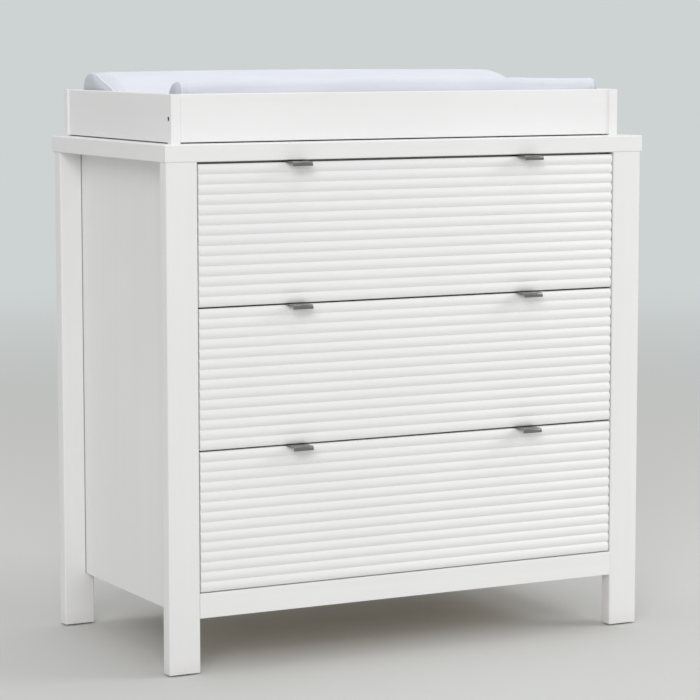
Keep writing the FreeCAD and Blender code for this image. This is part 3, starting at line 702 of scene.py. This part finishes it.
class DRESSER_OT_finish_boards(bpy.types.Operator):
    """Finishes the drawer boxes and the back panel"""
    bl_idname = "dresser.finish_boards"
    bl_label = "Finish drawer boxes and back"

    def execute(self, context):
        look = context.scene.dresser_boards
        give(plywood("plywood_sides", Y, look.side, [(X, Z), (X, Y)]),
             *(f"{level}_drawer_{side}_side" for level in LEVELS for side in SIDES))
        give(plywood("plywood_backs", X, look.side, [(Y, Z)]),
             *(f"{level}_drawer_back" for level in LEVELS))
        give(plywood("plywood_bottoms", X, look.bottom, []),
             *(f"{level}_drawer_bottom" for level in LEVELS))
        give(faced_hardboard("faced_hardboard"), "back_panel")
        return {"FINISHED"}


class DRESSER_OT_finish_hardware(bpy.types.Operator):
    """Finishes the slides, the tray plates and the leg glides"""
    bl_idname = "dresser.finish_hardware"
    bl_label = "Finish slides, plates and glides"

    def execute(self, context):
        give(powder_coat("powder_coat"),
             *(f"{level}_{side}_{part}_slide" for level in LEVELS for side in SIDES
               for part in ("cabinet", "drawer")))
        give(zinc_plate("zinc_plate"), "tray_plates")
        look = context.scene.dresser_plastic
        give(moulded_plastic("glide_plastic", look.glide, 0.55), "leg_glides")
        return {"FINISHED"}


class DRESSER_OT_reed_fronts(bpy.types.Operator):
    """Models the reeded drawer fronts with softened edges"""
    bl_idname = "dresser.reed_fronts"
    bl_label = "Reed the drawer fronts"
    ARC_STEPS = 12

    def execute(self, context):
        low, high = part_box("bottom_drawer_front")
        first = self.front(context.scene.dresser_fronts, low, high)
        finish = satin_paint("paint_fronts", X)
        for level in LEVELS:
            node = f"{level}_drawer_front"
            piece = copy_of(first, f"{level}_reeded_front")
            put(piece, (0, 0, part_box(node)[0].z - low.z))
            finished(piece, f"{level}_drawer", "painted_wood", finish, node)
        bpy.data.objects.remove(first)
        return {"FINISHED"}

    def front(self, look, low, high):
        """The bottom front: a row of arcs drawn out to its width, closed at the back."""
        pitch = (high.z - low.z) / look.reeds
        half = pitch / 2
        radius = (half ** 2 + look.depth ** 2) / (2 * look.depth)
        front = point("reeded_front", (low.x, low.y + look.depth, low.z))
        bpy.ops.mesh.spin(steps=self.ARC_STEPS, angle=2 * math.asin(half / radius),
                          center=(low.x, low.y + radius, low.z + half), axis=(1, 0, 0))
        fresh()
        modify(front, "ARRAY", count=look.reeds, use_relative_offset=False,
               use_constant_offset=True, constant_offset_displace=(0, 0, pitch),
               use_merge_vertices=True, merge_threshold=NEAR)
        edit(front)
        draw_out((high.x - low.x, 0, 0))
        choose("EDGE", open_edge)
        draw_out((0, high.y - low.y, 0))
        bpy.ops.transform.resize(value=(1, 0, 1), center_override=(0, high.y, 0))
        bpy.ops.mesh.edge_face_add()
        outward(front)
        modify(front, "BEVEL", width=look.arris, segments=3, limit_method="ANGLE",
               angle_limit=math.radians(30))
        return smooth(front, degrees=32)


class DRESSER_OT_bend_pulls(bpy.types.Operator):
    """Bends the tab pulls over the drawer fronts and screws them on"""
    bl_idname = "dresser.bend_pulls"
    bl_label = "Bend the pulls"
    WIDTH = 36 * MM  # of a pull, along the drawer
    LIP = 7.2 * MM  # height of the lip at the front
    BEND = 1.9 * MM  # rounding of the bends, in the middle of the sheet
    CORNER = 1.1 * MM  # rounding of the sheet's free corners
    SCREW_SIDE = 9 * MM  # from the pull's middle to a screw
    SCREW_RISE = 8 * MM  # from the rear flange's lower edge to a screw

    def execute(self, context):
        look = context.scene.dresser_metal
        low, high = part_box("bottom_drawer_pulls")
        start = high.x - self.WIDTH
        centre = start + self.WIDTH / 2
        tab = self.tab(look, low, high, start)
        screw = self.screw()
        metal = satin_metal("satin_metal")
        zinc = zinc_plate("zinc_screws")
        for level in LEVELS:
            node = f"{level}_drawer_pulls"
            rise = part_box(node)[0].z - low.z
            tabs, screws = [], []
            for side in (-1, 1):
                shift = 0 if side > 0 else -2 * centre
                tabs.append(put(copy_of(tab, "tab"), (shift, 0, rise)))
                for offset in (-self.SCREW_SIDE, self.SCREW_SIDE):
                    place = (side * centre + offset, high.y, low.z + self.SCREW_RISE + rise)
                    screws.append(put(copy_of(screw, "screw"), place, (-math.pi / 2, 0, 0)))
            body = f"{level}_drawer"
            finished(joined(f"{level}_pull_tabs", tabs), body, "pull_metal", metal, node)
            finished(joined(f"{level}_pull_screws", screws), body, "zinc_steel", zinc)
        bpy.data.objects.remove(tab)
        bpy.data.objects.remove(screw)
        return {"FINISHED"}

    def tab(self, look, low, high, start):
        """The bottom drawer's right pull: a sheet bent from its lip to its rear flange."""
        sheet = high.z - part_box("bottom_drawer_front")[1].z
        half = sheet / 2
        tab = point("pull_tab", (start, low.y + half, high.z - self.LIP))
        draw_out((0, 0, self.LIP - half))
        draw_out((0, high.y - low.y - sheet, 0))
        draw_out((0, 0, low.z - high.z + half))
        choose("VERT", lambda vert: vert.co.z > high.z - sheet)
        bpy.ops.mesh.bevel(offset=self.BEND, segments=5, affect="VERTICES")
        bpy.ops.mesh.select_all(action="SELECT")
        draw_out((self.WIDTH, 0, 0))
        outward(tab)
        modify(tab, "SOLIDIFY", thickness=sheet, offset=0.0, use_even_offset=True)
        outward(tab)
        edit(tab)
        ends = (start, start + self.WIDTH)
        levels = (low.z, high.z - self.LIP)
        choose("EDGE", lambda edge: self.free_corner(edge, ends, levels))
        bpy.ops.mesh.bevel(offset=self.CORNER, segments=4, affect="EDGES")
        fresh()
        modify(tab, "BEVEL", width=look.edge, segments=2, limit_method="ANGLE",
               angle_limit=math.radians(40))
        return smooth(tab, degrees=40)

    def free_corner(self, edge, ends, levels):
        """Whether an edge goes through the sheet at a corner of its lip or flange."""
        first, second = (vert.co for vert in edge.verts)
        spot = middle(edge)
        return (abs(first.x - second.x) < NEAR and abs(first.z - second.z) < NEAR
                and min(abs(spot.x - end) for end in ends) < NEAR
                and min(abs(spot.z - level) for level in levels) < NEAR)

    def screw(self):
        """A small pan-head screw, its head's foot at the origin."""
        rings = [(0.9, -1.0), (0.9, 0.0), (2.5, 0.0), (2.7, 0.3), (2.5, 0.9), (1.9, 1.3),
                 (1.0, 1.45)]
        screw = turned("pull_screw", rings, sides=24)
        cross_recess(screw, length=2.4, width=0.55, height=1.3, depth=1.2)
        return smooth(screw, degrees=35)


class DRESSER_OT_turn_screws(bpy.types.Operator):
    """Turns the screws of the tray and its plates, with their drive recesses"""
    bl_idname = "dresser.turn_screws"
    bl_label = "Turn the tray screws"
    HEAD = 2.2  # mm that a CAD screw's head is high
    TALL_HEAD = 3.2  # mm, of a socket screw modelled here
    TURNS = {(X, 1): (0, -math.pi / 2, 0), (X, -1): (0, math.pi / 2, 0),
             (Y, -1): (-math.pi / 2, 0, 0)}  # by a screw's axis and the way it points

    def execute(self, context):
        black = zinc_plate("black_zinc", context.scene.dresser_metal.bolt)
        self.set_of("tray_screws", "tray_socket_screws", self.socket_screw(shank=38), black)
        painted_highlight_colour = zinc_plate("zinc_plate_screws")
        self.set_of("plate_screws", "plate_cross_screws", self.cross_screw(shank=12), painted_highlight_colour)
        return {"FINISHED"}

    def set_of(self, node, name, screw, finish):
        """All screws of a node: each solid's box says where its screw is."""
        members = []
        for low, high in solids_of(node):
            size = high - low
            axis = max(range(3), key=lambda a: size[a])
            place = (low + high) / 2
            inward = -1 if place[axis] > 0 else 1
            place[axis] = (high if inward < 0 else low)[axis] + inward * self.HEAD * MM
            members.append(put(copy_of(screw, "one"), place, self.TURNS[axis, inward]))
        bpy.data.objects.remove(screw)
        finished(joined(name, members), frame_body(node), "zinc_steel", finish, node)

    def domed_screw(self, shank, top):
        """A screw with its head's foot at the origin and its shank along -Z, in mm."""
        rings = [(0.5, -shank), (2.0, 2.2 - shank), (2.0, 0.0), (3.6, 0.0), (3.8, 0.25),
                 (3.75, top - 1.0), (3.3, top - 0.4), (2.6, top - 0.1), (2.1, top)]
        return turned("screw", rings, sides=32)

    def socket_screw(self, shank):
        screw = self.domed_screw(shank, self.TALL_HEAD)
        cut(screw, added("cylinder", "cutter", vertices=6, radius=2.2 * MM, depth=4.4 * MM,
                         location=(0, 0, 2.8 * MM)))
        return smooth(screw, degrees=35)

    def cross_screw(self, shank):
        screw = self.domed_screw(shank, self.HEAD)
        cross_recess(screw, length=3.6, width=0.8, height=2.1, depth=2.2)
        return smooth(screw, degrees=35)


class DRESSER_OT_turn_rollers(bpy.types.Operator):
    """Turns the slide rollers, webbed and bored"""
    bl_idname = "dresser.turn_rollers"
    bl_label = "Turn the slide rollers"

    def execute(self, context):
        finish = moulded_plastic("roller_nylon", context.scene.dresser_plastic.roller, 0.4)
        roller = self.roller()
        for level in LEVELS:
            for part in ("cabinet", "drawer"):
                node = f"{level}_{part}_rollers"
                pair = []
                for low, high in solids_of(node):
                    place = (low + high) / 2
                    place.x = low.x
                    pair.append(put(copy_of(roller, "one"), place, (0, math.pi / 2, 0)))
                finished(joined(f"{level}_{part}_nylon_rollers", pair), frame_body(node),
                         "roller_plastic", finish, node)
        bpy.data.objects.remove(roller)
        return {"FINISHED"}

    def roller(self):
        """A roller on its side: each face has a hub round the bore, a web and a rim."""
        low, high = solids_of("bottom_cabinet_rollers")[0]
        width = (high.x - low.x) / MM
        radius = (high.z - low.z) / 2 / MM
        face = [(2.9, 0.2), (4.2, 0.2), (4.5, 0.9), (6.9, 0.9), (7.1, 0.1), (8.5, 0.0),
                (radius, 0.5)]
        other = [(ring, width - depth) for ring, depth in reversed(face)]
        return smooth(turned("roller", face + other, sides=48, bored=True), degrees=35)


class DRESSER_OT_sew_pad(bpy.types.Operator):
    """Pads and sews the contoured changing pad"""
    bl_idname = "dresser.sew_pad"
    bl_label = "Sew the changing pad"
    STEPPED = 21 * MM  # length of each end that the CAD pad steps down over
    FRAMES = 20  # of the cloth simulation
    CLOTH = {"use_pressure": True, "uniform_pressure_force": 4.0, "quality": 5, "mass": 0.3,
             "tension_stiffness": 12.0, "compression_stiffness": 12.0,
             "bending_stiffness": 0.4}
    INWARDS = 0.4 * MM  # most that the simulation draws a point in
    GROOVE = 0.7 * MM  # depth of the groove along an end seam
    GROOVE_HALF = 3.2 * MM  # half its width
    GATHERED = 34 * MM  # how far the gathers reach from a seam
    GATHER = 10 * MM  # from one gather to the next
    STRONG = 60 * MM  # from the front, where the left end's gathers are full
    WAVE = 0.5 * MM  # depth of the broad waves
    DIP_REACH = 30 * MM  # from the left end
    DIP_BACK = 100 * MM  # from the rear edge to the dip's middle
    DIP_HALF = 45 * MM  # half its width
    WAIST_Y = 2.2 * MM  # how far the long sides pull in between the corners
    WAIST_X = 1.5 * MM  # the same for the short sides
    SPARE = 1.6 * MM  # how far the cover may pass the CAD pad's sides
    REST = 0.2 * MM  # the cover's height over the slab where it rests

    def execute(self, context):
        look = context.scene.dresser_pad
        low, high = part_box("changing_pad")
        pad = solid_copy("changing_pad", "changing_pad_cover")
        pad.data.materials.clear()
        self.square(pad, high, look)
        modify(pad, "REMESH", mode="VOXEL", voxel_size=look.voxel)
        modify(pad, "DISPLACE", strength=-look.slack, mid_level=0.0)
        modify(pad, "SMOOTH", factor=0.5, iterations=1)
        self.swell(pad, look.swell)
        modify(pad, "SUBSURF", levels=1, render_levels=1)
        self.tuck(pad, low, high, look)
        self.settle(pad, low, high)
        take(pad)
        bpy.ops.object.shade_smooth()
        # painted highlight: the welts are made 12% brighter than the cover, for the light that
        # catches the sewn seams
        painted_highlight_colour = [min(1.0, channel) for channel in dim(look.colour, 1.12)]
        welt_highlight = woven_cover("woven_binding", painted_highlight_colour)
        for side, place in (("left", low.x + look.seam), ("right", high.x - look.seam)):
            welt = self.welt(pad, f"pad_{side}_welt", place, look.welt)
            finished(welt, "pad", "pad_cover", welt_highlight)
        cover = woven_cover("woven_cover", look.colour, high.x - look.seam)
        finished(pad, "pad", "pad_cover", cover, "changing_pad")
        return {"FINISHED"}

    def square(self, pad, high, look):
        """Takes off the stepped ends and draws the full section out to a softly rounded rim."""
        edit(pad)
        choose("FACE", lambda face: abs(middle(face).x) > high.x - self.STEPPED)
        bpy.ops.mesh.delete(type="FACE")
        for side in (-1, 1):
            choose("EDGE", lambda edge: open_edge(edge) and middle(edge).x * side > 0)
            mesh = bmesh.from_edit_mesh(pad.data)
            reach = next(v.co.x for v in mesh.verts if v.select)
            draw_out((side * high.x - reach, 0, 0))
            bpy.ops.mesh.edge_face_add()
        choose("EDGE", lambda edge: all(abs(v.co.x) > high.x - NEAR for v in edge.verts))
        bpy.ops.mesh.bevel(offset=look.rim, segments=4, affect="EDGES")
        fresh()

    def read(self, obj, what="co"):
        """The places or normals of an object's corners, a row to a corner."""
        corners = obj.data.vertices
        flat = np.empty(len(corners) * 3)
        corners.foreach_get(what, flat)
        return flat.reshape(-1, 3)

    def move(self, obj, points):
        obj.data.vertices.foreach_set("co", points.ravel())
        obj.data.update()

    def swell(self, pad, most):
        """Fills the cover with a cloth simulation, no point of it further than most."""
        before, normals = self.read(pad), self.read(pad, "normal")
        cloth = pad.modifiers.new("Cloth", "CLOTH")
        for name, value in self.CLOTH.items():
            setattr(cloth.settings, name, value)
        cloth.settings.effector_weights.gravity = 0.0
        cloth.collision_settings.use_collision = False
        cloth.point_cache.frame_start = 1
        cloth.point_cache.frame_end = self.FRAMES
        scene = bpy.context.scene
        for count in range(1, self.FRAMES + 1):
            scene.frame_set(count)
        take(pad)
        bpy.ops.object.modifier_apply(modifier=cloth.name)
        scene.frame_set(1)
        way = np.sum((self.read(pad) - before) * normals, axis=1)
        limit = np.where(way > 0, most, self.INWARDS)
        held = limit * np.tanh(way / limit)
        self.move(pad, before + normals * held[:, None])

    def tuck(self, pad, low, high, look):
        """Sews the cover along its ends, lets the rear hump's slope fall a little at the left
        end and draws the sides in between the corners."""
        points, normals = self.read(pad), self.read(pad, "normal")
        points += normals * self.sewn(points, low, high, look)[:, None]
        points[:, Z] -= self.fall(points, low, high, look)
        x, y = points[:, X], points[:, Y]
        across = (y - (low.y + high.y) / 2) / ((high.y - low.y) / 2)
        along = x / high.x
        x -= self.WAIST_X * (1 - across ** 2) * along
        y -= self.WAIST_Y * (1 - along ** 2) * across
        self.move(pad, points)

    def sewn(self, points, low, high, look):
        """How far each point goes outwards: a groove along each end seam, gathers beside it
        and broad waves, whose wave numbers are radians to a metre."""
        x, y, z = points.T
        gap = np.minimum(x - low.x, high.x - x) - look.seam
        groove = self.GROOVE * np.exp(-(gap / self.GROOVE_HALF) ** 2)
        past = np.clip(gap / self.GATHERED, 0.0, 1.0)
        folds = np.sin(gap * 2 * math.pi / self.GATHER + 0.8 * np.sin(y * 31.0 + 1.0))
        strength = 0.4 + 0.6 * ((x < 0) & (y < low.y + self.STRONG))
        gathers = look.fold * strength * folds * (1 - past) ** 2 * (gap > 0)
        broad = np.sin(x * 23.0 + 2 * np.sin(y * 19.0)) * np.sin(y * 41.0 + z * 37.0)
        return gathers + self.WAVE * broad - groove

    def fall(self, points, low, high, look):
        """How far each point sinks on the rear hump's slope near the left end."""
        x, y, z = points.T
        near_end = np.clip(1 - (x - low.x) / self.DIP_REACH, 0.0, 1.0)
        near_end = near_end ** 2 * (3 - 2 * near_end)
        slope = np.exp(-((y - high.y + self.DIP_BACK) / self.DIP_HALF) ** 4)
        return look.dip * near_end * slope * (z - low.z) / (high.z - low.z)

    def settle(self, pad, low, high):
        """Rests the pad flat on the slab and keeps it clear of the tray's boards."""
        points = self.read(pad)
        for axis in (X, Y):
            points[:, axis] = np.clip(points[:, axis], low[axis] - self.SPARE,
                                      high[axis] + self.SPARE)
        points[:, Z] = np.maximum(points[:, Z], low.z + self.REST)
        self.move(pad, points)

    def welt(self, pad, name, place, radius):
        """A sewn welt that follows the cover where a plane across the pad meets it."""
        line = copy_of(pad, name)
        edit(line)
        bpy.ops.mesh.bisect(plane_co=(place, 0, 0), plane_no=(1, 0, 0), clear_inner=True,
                            clear_outer=True)
        fresh()
        modify(line, "SMOOTH", factor=0.5, iterations=2)
        take(line)
        bpy.ops.object.convert(target="CURVE")
        curve = bpy.context.object
        curve.data.bevel_depth = radius
        curve.data.bevel_resolution = 2
        take(curve)
        bpy.ops.object.convert(target="MESH")
        welt = named(bpy.context.object, name)
        points = self.read(welt)
        points[:, Z] = np.maximum(points[:, Z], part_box("changing_pad")[0].z + self.REST / 2)
        self.move(welt, points)
        return smooth(welt, degrees=60)


class DRESSER_OT_set_stage(bpy.types.Operator):
    """Lays the floor, sets the lamps and the backdrop, and stands the camera up"""
    bl_idname = "dresser.set_stage"
    bl_label = "Set the stage"
    FLOOR = 80.0  # metres across
    FADE = (1.6, 7.0)  # metres from the middle, where the floor fades out
    LAMPS = {  # place, point it shines at and size, in metres
        "key": ((3.6, -1.9, 2.3), (0.0, 0.0, 0.45), 1.7),
        "fill": ((-8.7, -13.1, 7.55), (0.0, 0.0, 0.45), 8.0),
        "top": ((0.2, 0.3, 4.2), (0.0, 0.0, 0.5), 2.6),
    }
    # The camera, fitted to the photograph: metres, degrees, and pixels of focal length.
    CAMERA = (-2.2612, -4.2819, 1.0393)
    DOWN, ROLL, TURN = 6.482, 0.046, -27.846
    FOCAL = 2779.6
    PICTURE = 700  # pixels across
    SENSOR = 36.0  # mm across

    def execute(self, context):
        look = context.scene.dresser_studio
        self.floor(look)
        self.backdrop(look)
        for name, (place, target, size) in self.LAMPS.items():
            self.lamp(f"{name}_lamp", place, target, size, getattr(look, name))
        self.camera()
        context.scene.view_settings.view_transform = "Standard"
        return {"FINISHED"}

    def floor(self, look):
        """A pale floor that takes the shadow and fades into the backdrop far away."""
        floor = added("plane", "floor", size=self.FLOOR)
        finish = Finish("floor", {"Specular IOR Level": 0.2})
        grain = finish.noise(scale=160.0, detail=3.0)
        colour = finish.mix(grain.spread(), dim(look.floor, 0.98), look.floor)
        finish.surface(colour, 0.7 + 0.1 * grain, finish.bump(grain, 0.05 * MM))
        glow = finish.node("Emission", {"Color": look.backdrop})
        seen = Value(finish, finish.node("LightPath").outputs["Is Camera Ray"])
        away = (finish.along(X) ** 2 + finish.along(Y) ** 2) ** 0.5
        blend = finish.node("MixShader", {0: away.ramp(*self.FADE) * seen,
                                          1: finish.shader.outputs[0], 2: glow.outputs[0]})
        finish.feed(finish.tree.nodes["Material Output"], {"Surface": blend.outputs[0]})
        floor.data.materials.append(finish.material)

    def backdrop(self, look):
        """Even light on the object, and the backdrop's own colour where it is seen."""
        world = bpy.data.worlds.new("studio")
        bpy.context.scene.world = world
        world.use_nodes = True
        sky = Nodes(world.node_tree)
        light = sky.tree.nodes["Background"]
        sky.feed(light, {"Color": (1.0, 1.0, 1.0), "Strength": look.ambient})
        seen = sky.node("Background", {"Color": look.backdrop})
        path = sky.node("LightPath").outputs
        sight = path["Is Camera Ray"]
        for kind in ("Is Glossy Ray", "Is Transmission Ray"):
            sight = sky.math("MAXIMUM", sight, path[kind])
        blend = sky.node("MixShader", {0: sight, 1: light.outputs[0], 2: seen.outputs[0]})
        sky.feed(sky.tree.nodes["World Output"], {"Surface": blend.outputs[0]})

    def lamp(self, name, place, target, size, power):
        """A square area lamp that shines at the target."""
        fresh()
        bpy.ops.object.light_add(type="AREA", location=place)
        lamp = named(bpy.context.object, name)
        lamp.data.size = size
        lamp.data.energy = power
        lamp.rotation_euler = (Vector(place) - Vector(target)).to_track_quat("Z", "Y").to_euler()

    def camera(self):
        """The camera at the photograph's viewing angle."""
        fresh()
        turns = [math.radians(angle) for angle in (90 - self.DOWN, self.ROLL, self.TURN)]
        bpy.ops.object.camera_add(location=self.CAMERA, rotation=turns)
        camera = named(bpy.context.object, "camera")
        camera.data.sensor_width = self.SENSOR
        camera.data.lens = self.FOCAL / self.PICTURE * self.SENSOR
        bpy.context.scene.camera = camera


SETTINGS = {
    "dresser_paint": PaintSettings,
    "dresser_boards": BoardSettings,
    "dresser_metal": MetalSettings,
    "dresser_plastic": PlasticSettings,
    "dresser_fronts": FrontSettings,
    "dresser_pad": PadSettings,
    "dresser_studio": StudioSettings,
}

STEPS = (DRESSER_OT_paint_case, DRESSER_OT_ease_feet, DRESSER_OT_finish_boards,
         DRESSER_OT_finish_hardware, DRESSER_OT_reed_fronts, DRESSER_OT_bend_pulls,
         DRESSER_OT_turn_screws, DRESSER_OT_turn_rollers, DRESSER_OT_sew_pad,
         DRESSER_OT_set_stage)


class DRESSER_PT_steps(bpy.types.Panel):
    """Lists the steps that dress the model"""
    bl_idname = "DRESSER_PT_steps"
    bl_label = "Changing dresser"
    bl_space_type = "VIEW_3D"
    bl_region_type = "UI"
    bl_category = "Dresser"

    def draw(self, context):
        for step in STEPS:
            self.layout.operator(step.bl_idname)
        for name in SETTINGS:
            group = getattr(context.scene, name)
            box = self.layout.box()
            for key in group.bl_rna.properties.keys():
                if key not in ("rna_type", "name"):
                    box.prop(group, key)


def register():
    for name, group in SETTINGS.items():
        bpy.utils.register_class(group)
        setattr(bpy.types.Scene, name, bpy.props.PointerProperty(type=group))
    for each in (*STEPS, DRESSER_PT_steps):
        bpy.utils.register_class(each)


def unregister():
    for each in reversed((*STEPS, DRESSER_PT_steps)):
        bpy.utils.unregister_class(each)
    for name, group in reversed(SETTINGS.items()):
        delattr(bpy.types.Scene, name)
        bpy.utils.unregister_class(group)


def main():
    """Runs every step in order."""
    register()
    for step in STEPS:
        family, name = step.bl_idname.split(".")
        getattr(getattr(bpy.ops, family), name)()


if __name__ == "__main__":
    main()
